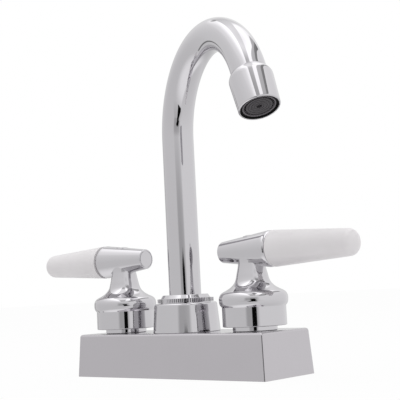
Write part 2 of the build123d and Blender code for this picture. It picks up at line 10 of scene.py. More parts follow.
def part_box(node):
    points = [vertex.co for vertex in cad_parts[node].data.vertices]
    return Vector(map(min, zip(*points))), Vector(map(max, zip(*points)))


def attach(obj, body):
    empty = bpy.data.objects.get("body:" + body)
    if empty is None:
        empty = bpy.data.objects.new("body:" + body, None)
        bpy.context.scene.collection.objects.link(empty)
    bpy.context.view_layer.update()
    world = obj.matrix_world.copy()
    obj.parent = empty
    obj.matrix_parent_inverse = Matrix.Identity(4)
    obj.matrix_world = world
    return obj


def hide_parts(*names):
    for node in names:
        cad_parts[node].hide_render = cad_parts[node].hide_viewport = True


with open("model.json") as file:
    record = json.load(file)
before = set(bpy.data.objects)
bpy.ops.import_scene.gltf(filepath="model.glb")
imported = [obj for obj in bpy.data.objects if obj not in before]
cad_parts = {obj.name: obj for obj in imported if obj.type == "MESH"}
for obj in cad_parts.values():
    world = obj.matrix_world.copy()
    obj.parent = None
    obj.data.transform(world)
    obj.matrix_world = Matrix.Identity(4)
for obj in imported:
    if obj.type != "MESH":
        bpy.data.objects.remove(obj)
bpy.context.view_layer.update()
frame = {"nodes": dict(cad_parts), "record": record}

bl_info = {
    "name": "Two-Handle Gooseneck Faucet",
    "version": (1, 0, 0),
    "blender": (4, 5, 0),
    "location": "View3D > Sidebar > Faucet",
    "description": "Builds the finished pieces of a gooseneck bar faucet on its CAD frame",
    "category": "Add Mesh",
}

MM = 0.001
WELD_GAP = 1e-6
SIDES = {"left": -1, "right": 1}
FINISHES = {}
IMAGE_WIDTH = 400

# Outlines: (radius, height) steps in millimetres from a given radius and height

BEAD_STEPS = ((-0.4, 1.4), (0, 3.3), (-0.15, 5.7), (-1.0, 7.4))
NECK_STEPS = (
    (9.6, 8.5),
    (7.4, 9.6),
    (5.4, 10.8),
    (3.8, 12.2),
    (2.6, 13.8),
    (1.85, 15.8),
    (1.3, 18.2),
    (0.6, 21.2),
    (0, 24.4),
)
CUP_STEPS = ((0.05, 1.8), (0.3, 2.0), (0.95, 2.9), (1.65, 4.1))

# Surroundings that the chrome mirrors: levels from straight down to straight up

SKY = (
    (0.0, 0.42),
    (0.33, 0.415),
    (0.5, 0.42),
    (0.67, 0.455),
    (0.75, 0.48),
    (0.82, 0.515),
    (0.885, 0.575),
    (0.935, 0.69),
    (0.97, 0.74),
    (1.0, 0.65),
)

# Round darker patches: bearing, rise, full and outer radius in degrees, and level

PATCHES = ((-139, 0, 10, 40, 0.8), (-116, 46, 2, 4, 0.35), (60, 38, 4, 15, 0.78))

# Bearing of the upright dark line in degrees, and the direction across the ceiling's lamps

LINE_BEARING = -103
ACROSS_LAMPS = (0.74, 0.67)

# Dark cards: distance of the far one and half width of both, in metres. Each row of a card is
# the distance along it, the shape's middle and half width in metres, its black and its shade

CARD_DISTANCE = 0.54
CARD_REACH = 0.36
TABLE_STRIP = (
    (0.226, 0.012, 0.058, 0, 0),
    (0.232, 0.012, 0.058, 1, 0.1),
    (0.266, 0.03, 0.06, 1, 0.2),
    (0.344, 0.03, 0.055, 1, 0.35),
    (0.445, 0.025, 0.05, 1, 0.45),
    (CARD_DISTANCE, 0.01, 0.06, 1, 0.6),
)
CAMERA_SHAPE = (
    (0, 0.035, 0.07, 1, 1),
    (0.03, 0.035, 0.07, 1, 1),
    (0.055, 0.005, 0.076, 1, 1),
    (0.075, 0, 0.076, 1, 1),
    (0.084, 0, 0.06, 0.85, 1),
    (0.1, 0, 0.03, 0, 1),
    (0.156, 0, 0, 0, 0.85),
    (0.235, 0, 0, 0, 0.2),
    (0.25, 0, 0, 0, 0),
)


# Settings


def low(node):
    """Lowest corner of a CAD node."""
    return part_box(node)[0]


def high(node):
    """Highest corner of a CAD node."""
    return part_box(node)[1]


def width(node):
    """Sizes of a CAD node's box."""
    return high(node) - low(node)


def middle(node):
    """Middle of a CAD node's box."""
    return (high(node) + low(node)) / 2


def length(name, description, value, unit=MM):
    """A size setting, in millimetres unless it comes from the frame in metres."""
    return FloatProperty(name=name, description=description, default=value * unit, unit="LENGTH", precision=5)


def angle(name, description, degrees):
    """An angle setting."""
    return FloatProperty(name=name, description=description, default=radians(degrees), subtype="ANGLE")


def colour(name, description, default):
    """A colour setting."""
    kind = {"subtype": "COLOR", "size": 3, "min": 0, "max": 1}
    return FloatVectorProperty(name=name, description=description, default=default, **kind)


def share(name, description, default, top=1):
    """A plain number from nought to a limit."""
    return FloatProperty(name=name, description=description, default=default, min=0, max=top, precision=4)


class FaucetSizes(bpy.types.PropertyGroup):
    """Sizes of the visible pieces."""

    hub_x: length("Hub offset", "From the spout's axis to a handle's axis", middle("valve_body_right").x, 1)
    base_length: length("Base length", "Length of the base at its foot", width("base_shell").x, 1)
    base_depth: length("Base depth", "Depth of the base at its foot", width("base_shell").y, 1)
    base_setback: length("Base setback", "How far the base is behind the hubs", middle("base_shell").y, 1)
    base_height: length("Base height", "Height of the base above the deck", high("base_shell").z, 1)
    base_draft: angle("Base draft", "Lean of the base's sides", 3)
    base_edge: length("Base edge", "Radius of the base's rounded edges", 1.6)
    base_wall: length("Base wall", "Wall thickness of the base", 2.2)
    skirt_radius: length("Skirt radius", "Outer radius of the handle's skirt", 18.056)
    skirt_bore: length("Skirt bore", "Inner radius of the handle's skirt", 16.256)
    skirt_height: length("Skirt height", "Height of the straight skirt", 10.8)
    bead_bulge: length("Bead bulge", "How far the bell's bead stands out of the skirt", 1.4)
    neck_radius: length("Neck radius", "Radius of the handle's neck below the barrel", 7.5)
    barrel_height: length("Barrel height", "Height of the barrels' axis", middle("lever_right").z, 1)
    barrel_inner: length("Barrel inner length", "Barrel length on the side of the spout", 19.8)
    barrel_outer: length("Barrel outer length", "Barrel length on the side of the lever", 16.5)
    barrel_small: length("Barrel small radius", "Radius of the barrel's small end", 6.05)
    barrel_big: length("Barrel big radius", "Radius of the barrel's big end", 10.5)
    barrel_lip: length("Barrel lip", "Radius of the rounded edge next to the lever", 2.6)
    lever_reach: length("Lever reach", "Distance from the hub's axis to the lever's tip", 69.9)
    lever_root: length("Lever root radius", "Radius of the lever next to the barrel", 10.3)
    lever_tip: length("Lever tip radius", "Radius of the lever where its taper ends", 7.35)
    lever_corner: length("Lever corner radius", "Rounding between the lever's taper and its cap", 4.8)
    plug_radius: length("Index plug radius", "Radius of the button on the barrel", 4)
    collar_foot: length("Collar foot radius", "Collar's radius at the base", width("spout_collar").x / 2, 1)
    collar_top: length("Collar top radius", "Radius of the spout collar at its top", 18.625)
    nut_radius: length("Knurled nut radius", "Outer radius of the knurled nut", 16.725)
    nut_band: length("Knurled band height", "Height of the fluted band", 2.75)
    knurls: IntProperty(name="Flutes", description="Number of flutes round the nut", default=88, min=12)
    tube_radius: length("Tube radius", "Outer radius of the spout tube", 9.525)
    tube_wall: length("Tube wall", "Wall thickness of the spout tube", 0.9)
    bend_height: length("Bend height", "Height at which the bend starts", 141)
    bend_radius: length("Bend radius", "Radius of the bend's centre line", 50)
    bend_angle: angle("Bend angle", "Angle the tube turns through", 156)
    swing: angle("Spout swing", "Turn of the spout from the right hub's side", -25)
    cup_radius: length("Cup radius", "Largest radius of the outlet cup", 11.8)
    cup_mouth: length("Cup mouth radius", "Radius of the outlet cup at its lip", 11.11)
    cup_length: length("Cup length", "Distance from the end of the bend to the cup's lip", 24.2)
    thread_crest: length("Thread crest radius", "Outer radius of the shank thread", 10.47)
    thread_pitch: length("Thread pitch", "Rise of the shank thread in one turn", 1.814)


class FaucetFinishes(bpy.types.PropertyGroup):
    """Colours and gloss of the finishes."""

    chrome: colour("Bright chrome", "What turned and bent pieces reflect", (0.566, 0.555, 0.576))
    chrome_roughness: share("Chrome roughness", "Softness of the chrome's reflections", 0.035)
    plate: colour("Base chrome", "What the base reflects", (0.516, 0.498, 0.522))
    porcelain: colour("Porcelain white", "Colour of the levers", (0.83, 0.805, 0.82))
    brass: colour("Machined brass", "Colour of the hidden bodies", (0.78, 0.57, 0.27))
    copper: colour("Drawn copper", "Colour of the cross tubes", (0.82, 0.44, 0.3))
    zinc: colour("Zinc plate", "Colour of the plated steel", (0.6, 0.61, 0.62))
    rubber: colour("Black rubber", "Colour of gaskets and O-rings", (0.002, 0.002, 0.0022))
    acetal: colour("Natural acetal", "Colour of the glide washer", (0.78, 0.78, 0.74))
    moulding: colour("Dark moulding", "Colour of the aerator's insert", (0.06, 0.055, 0.061))
    ceramic: colour("Lapped ceramic", "Colour of the cartridge discs", (0.82, 0.81, 0.77))


class FaucetStudio(bpy.types.PropertyGroup):
    """Camera, lamps and surroundings."""

    camera_turn: angle("Camera turn", "Bearing of the camera from the front, to the right", 41.441)
    camera_distance: length("Camera distance", "Level distance from the spout to the camera", 561.2)
    camera_height: length("Camera height", "Height of the camera above the deck", 48.464)
    camera_pitch: angle("Camera pitch", "Upward tilt of the camera", 6.696)
    camera_yaw: angle("Camera yaw", "Turn of the camera away from the spout's axis", -1.346)
    camera_roll: angle("Camera roll", "Roll of the camera", -2.912)
    focal_pixels: share("Focal length in pixels", "For an image 400 pixels wide", 933.8, 10 * IMAGE_WIDTH)
    centre_x: share("Image centre across", "Pixel column of the optical axis", 201.72, IMAGE_WIDTH)
    centre_y: share("Image centre down", "Pixel row of the optical axis", 182.01, IMAGE_WIDTH)
    ambient: share("Ambient level", "Plain light from all sides on matt surfaces", 0.72, 4)
    mirrored: share("Mirrored level", "Brightness of what the chrome mirrors", 1.0, 4)
    right_gain: share("Right side's gain", "Brightness of the right side against the left", 1.2, 4)
    softbox: share("Softbox power", "Power of the overhead softbox", 4.0, 100)


# Node trees


def both_ways(operation):
    """An operator and its reflected form, each adding one Math node."""

    def plain(self, other):
        return self.tree.maths(operation, self, other)

    def reflected(self, other):
        return self.tree.maths(operation, other, self)

    return plain, reflected


class Wire:
    """One socket of a node tree, on which plain operators add Math nodes."""

    __add__, __radd__ = both_ways("ADD")
    __sub__, __rsub__ = both_ways("SUBTRACT")
    __mul__, __rmul__ = both_ways("MULTIPLY")
    __truediv__, __rtruediv__ = both_ways("DIVIDE")
    __gt__, __lt__ = both_ways("GREATER_THAN")

    def __init__(self, tree, node, socket):
        self.tree = tree
        self.node = node
        self.socket = socket

    def __getitem__(self, name):
        return Wire(self.tree, self.node, self.node.outputs[name])

    def __abs__(self):
        return self.tree.maths("ABSOLUTE", self)

    def axes(self):
        """The three parts of this vector."""
        parts = self.tree.add("ShaderNodeSeparateXYZ", {}, {"Vector": self})
        return [parts[axis] for axis in "XYZ"]

    def span(self, source_low, source_high, target_low, target_high):
        """The value taken from one range to another, smoothly and no further than its ends."""
        ends = {"From Min": source_low, "From Max": source_high, "To Min": target_low, "To Max": target_high}
        smoothly = {"interpolation_type": "SMOOTHSTEP"}
        return self.tree.add("ShaderNodeMapRange", smoothly, {"Value": self, **ends})

    def noise(self, scale, detail=3.0, rough=0.5):
        """Noise from nought to one over this vector."""
        values = {"Vector": self, "Scale": scale, "Detail": detail, "Roughness": rough}
        return self.tree.add("ShaderNodeTexNoise", {}, values)

    def stretched(self, scale, turn=(0, 0, 0)):
        """This vector scaled along each axis, for drawn or turned marks."""
        return self.tree.add("ShaderNodeMapping", {}, {"Vector": self, "Scale": scale, "Rotation": turn})

    def mix(self, first, second):
        """A blend of two colours by this share."""
        return self.tree.add("ShaderNodeMix", {"data_type": "RGBA"}, {0: self, 6: first, 7: second})[2]

    def bump(self, strength, distance):
        """A normal bumped by this height."""
        values = {"Height": self, "Strength": strength, "Distance": distance}
        return self.tree.add("ShaderNodeBump", {}, values)["Normal"]


class Tree:
    """A node tree that is filled by one method."""

    def __init__(self, tree):
        self.tree = tree

    def add(self, kind, settings=None, values=None):
        """Add a node of a type, with its settings first and then its sockets' values or links."""
        node = self.tree.nodes.new(kind)
        for key, value in (settings or {}).items():
            if key == "stops":
                ramp = node.color_ramp
                while len(ramp.elements) < len(value):
                    ramp.elements.new(1)
                for element, (position, tint) in zip(ramp.elements, value):
                    element.position = position
                    element.color = tint
            else:
                setattr(node, key, value)
        for key, value in (values or {}).items():
            socket = node.inputs[key]
            if isinstance(value, Wire):
                self.tree.links.new(value.socket, socket)
            else:
                socket.default_value = value
        return Wire(self, node, node.outputs[0] if node.outputs else None)

    def maths(self, operation, *values):
        """A Math node on wires or numbers."""
        return self.add("ShaderNodeMath", {"operation": operation}, dict(enumerate(values)))

    def point(self, x=0.0, y=0.0, z=0.0):
        """A vector from three values."""
        return self.add("ShaderNodeCombineXYZ", {}, {"X": x, "Y": y, "Z": z})

    def ramp(self, value, stops):
        """Greys along a value from nought to one; each stop is (position, level)."""
        greys = [(position, grey(level)) for position, level in stops]
        return self.add("ShaderNodeValToRGB", {"stops": greys}, {"Fac": value})["Color"]

    def blend(self, factor, first, second):
        """A mix of two shaders."""
        return self.add("ShaderNodeMixShader", {}, {0: factor, 1: first, 2: second})

    def seen(self):
        """One for what the camera sees, straight or through a clear piece."""
        rays = self.add("ShaderNodeLightPath")
        return rays["Is Camera Ray"] + rays["Is Transmission Ray"]

    def end(self, kind, surface):
        """The output of a material or a world."""
        self.add(f"ShaderNodeOutput{kind}", {}, {"Surface": surface})


def grey(level):
    """An opaque grey."""
    return (level, level, level, 1)


def opaque(tint, gain=1.0):
    """A colour with full alpha."""
    return tuple(min(1, c * gain) for c in tint) + (1,)


def blank_material(name):
    """A material without nodes, its tree, and the object's own coordinates in it."""
    material = bpy.data.materials.new(name)
    material.use_nodes = True
    material.node_tree.nodes.clear()
    tree = Tree(material.node_tree)
    return material, tree, tree.add("ShaderNodeTexCoord")["Object"]


def close_finish(tree, **sockets):
    """End a material with a Principled shader, whose sockets are named with underscores."""
    named = {name.replace("_", " "): value for name, value in sockets.items()}
    tree.end("Material", tree.add("ShaderNodeBsdfPrincipled", {}, named))


def chrome_finish(name, tint, roughness, ripple):
    """Polished chrome plate: faint wipe marks, specks and a very slight waviness under the polish."""
    material, tree, place = blank_material(name)
    wipe = place.stretched((30, 30, 90), (0.3, 0.2, 0)).noise(1, 4, 0.6)
    specks = place.noise(2600, 0) > 0.74
    worn = place.noise(55, 2).span(0.35, 0.75, 0, 1)
    close_finish(
        tree,
        Base_Color=(specks * 0.05 + worn * 0.3).mix(opaque(tint), opaque(tint, 0.965)),
        Metallic=1.0,
        Roughness=roughness + wipe.span(0.45, 0.75, 0, 0.035) + specks * 0.04,
        Normal=place.noise(22, 1).bump(ripple, 0.0004),
    )
    return material


def porcelain_finish(name, tint):
    """Glossy white glaze over a slightly uneven body."""
    material, tree, place = blank_material(name)
    cloud = place.noise(45, 4).span(0.3, 0.7, 0, 1)
    close_finish(
        tree,
        Base_Color=cloud.mix(opaque(tint), opaque(tint, 0.965)),
        Roughness=0.26 + place.noise(900, 2) * 0.06,
        Specular_IOR_Level=0.4,
        Coat_Weight=0.12,
        Coat_Roughness=0.2,
        Normal=place.noise(120, 2).bump(0.08, 0.0002),
    )
    return material


def turned_finish(name, tint, roughness, lines, stain=(0.35, 0.22, 0.1)):
    """Machined or drawn metal, with fine tool lines across one axis and slow patches of tarnish."""
    material, tree, place = blank_material(name)
    marks = place.stretched(lines).noise(1, 2, 0.7)
    aged = place.noise(70, 5, 0.65).span(0.42, 0.78, 0, 0.55)
    base = marks.span(0.3, 0.7, 0, 1).mix(opaque(tint, 0.86), opaque(tint, 1.05))
    close_finish(
        tree,
        Base_Color=aged.mix(base, opaque(stain)),
        Metallic=1.0,
        Roughness=roughness + aged * 0.25 + marks * 0.08,
        Normal=marks.bump(0.35, 0.00004),
    )
    return material


def zinc_finish(name, tint):
    """Zinc plate with a fine crystal pattern and a matt bloom."""
    material, tree, place = blank_material(name)
    crystal = tree.add("ShaderNodeTexVoronoi", {"feature": "F1"}, {"Vector": place, "Scale": 900})["Distance"]
    close_finish(
        tree,
        Base_Color=(crystal * 0.7).mix(opaque(tint), opaque(tint, 0.78)),
        Metallic=1.0,
        Roughness=0.28 + place.noise(160, 4, 0.6) * 0.2,
        Normal=crystal.bump(0.15, 0.00005),
    )
    return material


def matt_finish(name, tint, roughness, grain, depth, bloom, sheen=0.4):
    """Rubber, moulding or ceramic: a fine grain, and a paler bloom in patches."""
    material, tree, place = blank_material(name)
    fine = place.noise(grain, 3, 0.6)
    paler = place.noise(90, 4, 0.6).span(0.45, 0.8, 0, 1)
    close_finish(
        tree,
        Base_Color=paler.mix(opaque(tint), opaque(tint, bloom)),
        Roughness=roughness + fine * 0.12,
        Specular_IOR_Level=sheen,
        Normal=fine.bump(0.4, depth),
    )
    return material


# Shapes


def link(name, mesh):
    """A new object at the origin."""
    piece = bpy.data.objects.new(name, mesh)
    bpy.context.scene.collection.objects.link(piece)
    return piece


def smooth(mesh, crease=32):
    """Smooth shading with crisp edges where faces meet at more than the crease, in degrees."""
    mesh.polygons.foreach_set("use_smooth", [True] * len(mesh.polygons))
    mesh.set_sharp_from_angle(angle=radians(crease))
    mesh.update()


def built(name, build, crease=None):
    """The object that a bmesh describes, shaded smooth where a crease is given."""
    mesh = bpy.data.meshes.new(name)
    build.to_mesh(mesh)
    build.free()
    if crease:
        smooth(mesh, crease)
    return link(name, mesh)


def steps_from(radius, height, *steps):
    """Corners at (out, up) or (out, up, fillet) steps in millimetres from a radius and a height."""
    return [(radius + out * MM, height + up * MM, *(f * MM for f in fillet)) for out, up, *fillet in steps]


def rod(radius, bottom, top):
    """The outline of a plain rod."""
    return [(0, bottom), (radius, bottom), (radius, top), (0, top)]


def rounded(corners, steps=5, closed=True):
    """Turn (radius, height, fillet) corners into points: each fillet an arc, held straight beside it."""
    points = []
    count = len(corners)
    for i, corner in enumerate(corners):
        here = Vector(corner[:2])
        fillet = corner[2] if len(corner) > 2 else 0
        if not fillet or (not closed and i in (0, count - 1)):
            points.append(here)
            continue
        sides = [Vector(corners[k % count][:2]) - here for k in (i - 1, i + 1)]
        before, after = [side.normalized() for side in sides]
        half = acos(max(-1, min(1, before.dot(after)))) / 2
        reach = fillet / tan(half)
        hold = fillet * 0.4
        centre = here + (before + after).normalized() * (fillet / sin(half))
        first = here + before * reach - centre
        last = here + after * reach - centre
        sweep = atan2(first.x * last.y - first.y * last.x, first.dot(last))
        if sides[0].length > reach + 2 * hold:
            points.append(here + before * (reach + hold))
        for k in range(steps + 1):
            c = cos(sweep * k / steps)
            s = sin(sweep * k / steps)
            points.append(centre + Vector((first.x * c - first.y * s, first.x * s + first.y * c)))
        if sides[1].length > reach + 2 * hold:
            points.append(here + after * (reach + hold))
    return [tuple(p) for p in points]


def flow(points, steps=6):
    """A smooth curve through points, as a list of points."""
    knots = [Vector(p) for p in points]
    knots = [2 * knots[0] - knots[1]] + knots + [2 * knots[-1] - knots[-2]]
    out = []
    for a, b, c, d in zip(knots, knots[1:], knots[2:], knots[3:]):
        one, two, three = ((q - p).length ** 0.5 for p, q in ((a, b), (b, c), (c, d)))
        slope_b = ((b - a) / one - (c - a) / (one + two) + (c - b) / two) * two
        slope_c = ((c - b) / two - (d - b) / (two + three) + (d - c) / three) * two
        for t in (k / steps for k in range(steps)):
            leaving = (2 * t**3 - 3 * t**2 + 1) * b + (t**3 - 2 * t**2 + t) * slope_b
            out.append(leaving + (3 * t**2 - 2 * t**3) * c + (t**3 - t**2) * slope_c)
    return [tuple(p) for p in out] + [tuple(knots[-2])]


def lathe(name, profile, place=None, segments=96, crease=32):
    """A closed turned mesh: a loop of (radius, height) points, about an axis that place carries."""
    place = place or Matrix.Identity(4)
    build = bmesh.new()
    turns = [2 * pi * k / segments for k in range(segments)]
    rings = []
    for radius, height in profile:
        spots = [(radius * cos(t), radius * sin(t)) for t in turns] if radius > WELD_GAP else [(0, 0)]
        rings.append([build.verts.new(place @ Vector((x, y, height))) for x, y in spots])
    for ring, other in zip(rings, rings[1:] + rings[:1]):
        if len(ring) == len(other) == 1:
            continue
        for k in range(segments):
            n = (k + 1) % segments
            corners = [ring[k % len(ring)], ring[n % len(ring)], other[n % len(other)], other[k % len(other)]]
            build.faces.new(list(dict.fromkeys(corners)))
    bmesh.ops.recalc_face_normals(build, faces=build.faces)
    return built(name, build, crease)


def tapered_block(name, size, centre, bottom, top, lean, edge=0):
    """A box whose four sides lean inwards, with its upright and upper edges rounded."""
    build = bmesh.new()
    corners = []
    for z in (bottom, top):
        inset = (z - max(0, bottom)) * tan(lean)
        half_x = size[0] / 2 - inset
        half_y = size[1] / 2 - inset
        signs = ((-1, -1), (1, -1), (1, 1), (-1, 1))
        spots = [(centre[0] + a * half_x, centre[1] + b * half_y, z) for a, b in signs]
        corners.append([build.verts.new(spot) for spot in spots])
    build.faces.new(corners[0][::-1])
    build.faces.new(corners[1])
    for k in range(4):
        n = (k + 1) % 4
        build.faces.new((corners[0][k], corners[0][n], corners[1][n], corners[1][k]))
    if edge:
        edges = [e for e in build.edges if max(v.co.z for v in e.verts) > (bottom + top) / 2]
        bmesh.ops.bevel(build, geom=edges, offset=edge, segments=5, profile=0.5, affect="EDGES")
    bmesh.ops.recalc_face_normals(build, faces=build.faces)
    return built(name, build)


def bake(piece):
    """Apply a piece's modifiers to its mesh."""
    view = bpy.context.evaluated_depsgraph_get()
    live = piece.evaluated_get(view)
    mesh = bpy.data.meshes.new_from_object(live, preserve_all_data_layers=True, depsgraph=view)
    piece.modifiers.clear()
    old = piece.data
    piece.data = mesh
    bpy.data.meshes.remove(old)
    piece.data.name = piece.name
    if not len(mesh.polygons):
        raise RuntimeError(f"{piece.name} came out empty")


def cut(piece, *tools, operation="DIFFERENCE"):
    """Cut tools out of a piece, or join them to it, and remove the tools."""
    for tool in tools:
        step = piece.modifiers.new(operation.lower(), "BOOLEAN")
        step.operation = operation
        step.solver = "EXACT"
        step.object = tool
        bake(piece)
        bpy.data.objects.remove(tool)


def even_shading(piece):
    """Smooth a cut piece without shading leaking on to its flat faces."""
    smooth(piece.data)
    keep = piece.modifiers.new("normals", "WEIGHTED_NORMAL")
    keep.keep_sharp = True
    keep.weight = 50
    bake(piece)


def grown(name, tree, place=None, **inputs):
    """Run a geometry tree and return its result as a plain mesh."""
    piece = link(name, bpy.data.meshes.new(name))
    step = piece.modifiers.new("build", "NODES")
    step.node_group = tree
    for item in tree.interface.items_tree:
        key = item.name.replace(" ", "_").lower()
        if item.item_type == "SOCKET" and item.in_out == "INPUT" and key in inputs:
            step[item.identifier] = inputs[key]
    bake(piece)
    if place:
        piece.data.transform(place)
    return piece


def done(piece, body, slot, *nodes):
    """Give a piece its finish, body and the CAD nodes that it stands for."""
    piece.data.materials.clear()
    piece.data.materials.append(FINISHES[slot])
    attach(piece, body)
    if nodes:
        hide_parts(*nodes)


def hub_place(side, x):
    """The frame of a hub, with its own x axis pointing outwards."""
    return Matrix.Translation((SIDES[side] * x, 0, 0)) @ Matrix.Rotation(0 if side == "right" else pi, 4, "Z")


def barrel_place(side, size):
    """The frame of a barrel: its axis points outwards, along the lever."""
    lift = Matrix.Translation((0, 0, size.barrel_height))
    return hub_place(side, size.hub_x) @ lift @ Matrix.Rotation(pi / 2, 4, "Y")


def outlet_place(size):
    """The frame of the outlet: its axis points along the water's way out."""
    swing = Vector((cos(size.swing), sin(size.swing), 0))
    bend = size.bend_angle
    axis = swing * sin(bend) + Vector((0, 0, cos(bend)))
    side = swing * cos(bend) - Vector((0, 0, sin(bend)))
    out = size.bend_radius * (1 - cos(bend))
    up = size.bend_height + size.bend_radius * sin(bend)
    turn = Matrix((side, axis.cross(side), axis)).transposed().to_4x4()
    return Matrix.Translation(swing * out + Vector((0, 0, up))) @ turn


# Geometry trees


def geometry_tree(name, values, counts):
    """A geometry tree with named values, counts and a material as inputs, and wires to them."""
    group = bpy.data.node_groups.new(name, "GeometryNodeTree")
    kinds = {label: "NodeSocketFloat" for label in values}
    kinds.update({label: "NodeSocketInt" for label in counts}, Material="NodeSocketMaterial")
    for label, kind in kinds.items():
        group.interface.new_socket(label, in_out="INPUT", socket_type=kind)
    group.interface.new_socket("Geometry", in_out="OUTPUT", socket_type="NodeSocketGeometry")
    tree = Tree(group)
    entry = tree.add("NodeGroupInput")
    return tree, {label: entry[label] for label in kinds}


def close_tree(tree, geometry, material):
    """End a geometry tree with real, smooth geometry and its finish."""
    real = tree.add("GeometryNodeRealizeInstances", {}, {0: geometry})
    soft = tree.add("GeometryNodeSetShadeSmooth", {}, {0: real})
    dressed = tree.add("GeometryNodeSetMaterial", {}, {"Geometry": soft, "Material": material})
    tree.add("NodeGroupOutput", {}, {0: dressed})
    return tree.tree


def swept(tree, path, sides, radius, caps=True):
    """A solid of round or polygonal section along a curve."""
    section = {"Resolution": sides, "Radius": radius}
    form = tree.add("GeometryNodeCurvePrimitiveCircle", {"mode": "RADIUS"}, section)["Curve"]
    return tree.add("GeometryNodeCurveToMesh", {}, {"Curve": path, "Profile Curve": form, "Fill Caps": caps})


def gooseneck_tree():
    """A tube that rises, turns over in one round bend and ends straight."""
    values = ("Foot", "Bend height", "Bend radius", "Bend angle", "Swing", "Straight end", "Tube radius")
    tree, given = geometry_tree("gooseneck", values, ("Bend steps", "Sides"))
    bend = given["Bend angle"]
    foot = given["Foot"]
    reach = given["Bend radius"] * tree.maths("TANGENT", bend * 0.5)
    rise = given["Bend height"] + reach - foot
    run = reach + given["Straight end"]
    index = tree.add("GeometryNodeInputIndex")
    second = index > 0.5
    third = index > 1.5
    level = third * run * tree.maths("SINE", bend)
    spot = tree.point(
        level * tree.maths("COSINE", given["Swing"]),
        level * tree.maths("SINE", given["Swing"]),
        foot + second * rise + third * run * tree.maths("COSINE", bend),
    )
    line = tree.add("GeometryNodeMeshLine", {}, {"Count": 3})
    placed = tree.add("GeometryNodeSetPosition", {}, {"Geometry": line, "Position": spot})
    path = tree.add("GeometryNodeMeshToCurve", {}, {0: placed})
    round_off = {"Curve": path, "Count": given["Bend steps"], "Radius": given["Bend radius"]}
    bent = tree.add("GeometryNodeFilletCurve", {"mode": "POLY"}, round_off)
    tube = swept(tree, bent, given["Sides"], given["Tube radius"], caps=False)
    return close_tree(tree, tube, given["Material"])


def ridge_tree():
    """Upright ridges in a ring, such as the flutes of a nut or the teeth of an insert."""
    values = ("Ring radius", "Ridge radius", "Bottom", "Top")
    tree, given = geometry_tree("ring_of_ridges", values, ("Count", "Sides"))
    places = {"Vertices": given["Count"], "Radius": given["Ring radius"]}
    ring = tree.add("GeometryNodeMeshCircle", {}, places)
    ends = {"Start": tree.point(z=given["Bottom"]), "End": tree.point(z=given["Top"])}
    line = tree.add("GeometryNodeCurvePrimitiveLine", {}, ends)
    ridge = swept(tree, line, given["Sides"], given["Ridge radius"])
    round_ring = tree.add("GeometryNodeInputIndex") * (2 * pi) / given["Count"]
    turn = tree.point(z=round_ring + pi / given["Sides"])
    copies = {"Points": ring, "Instance": ridge, "Rotation": turn}
    return close_tree(tree, tree.add("GeometryNodeInstanceOnPoints", {}, copies), given["Material"])


def thread_tree():
    """A helical ridge that runs out at both ends."""
    values = ("Root radius", "Crest radius", "Pitch", "Bottom", "Top")
    tree, given = geometry_tree("screw_thread", values, ("Steps",))
    rise = given["Top"] - given["Bottom"]
    turns = rise / given["Pitch"]
    depth = given["Crest radius"] - given["Root radius"]
    line = given["Root radius"] + depth * 0.1
    coil = {"Resolution": given["Steps"], "Rotations": turns, "Height": rise, "Reverse": True}
    helix = tree.add("GeometryNodeCurveSpiral", {}, {"Start Radius": line, "End Radius": line, **coil})
    lift = tree.point(z=given["Bottom"])
    lifted = tree.add("GeometryNodeSetPosition", {}, {"Geometry": helix, "Offset": lift})
    upright = tree.add("GeometryNodeSetCurveNormal", {"mode": "Z_UP"}, {"Curve": lifted})
    along = tree.add("GeometryNodeSplineParameter")["Factor"] * turns
    ends = tree.maths("MINIMUM", along, turns - along)
    thick = tree.maths("MINIMUM", ends * 1.2 + 0.08, 1.0)
    sized = tree.add("GeometryNodeSetCurveRadius", {}, {"Curve": upright, "Radius": thick})
    return close_tree(tree, swept(tree, sized, 4, depth * 0.9), given["Material"])


# Operators


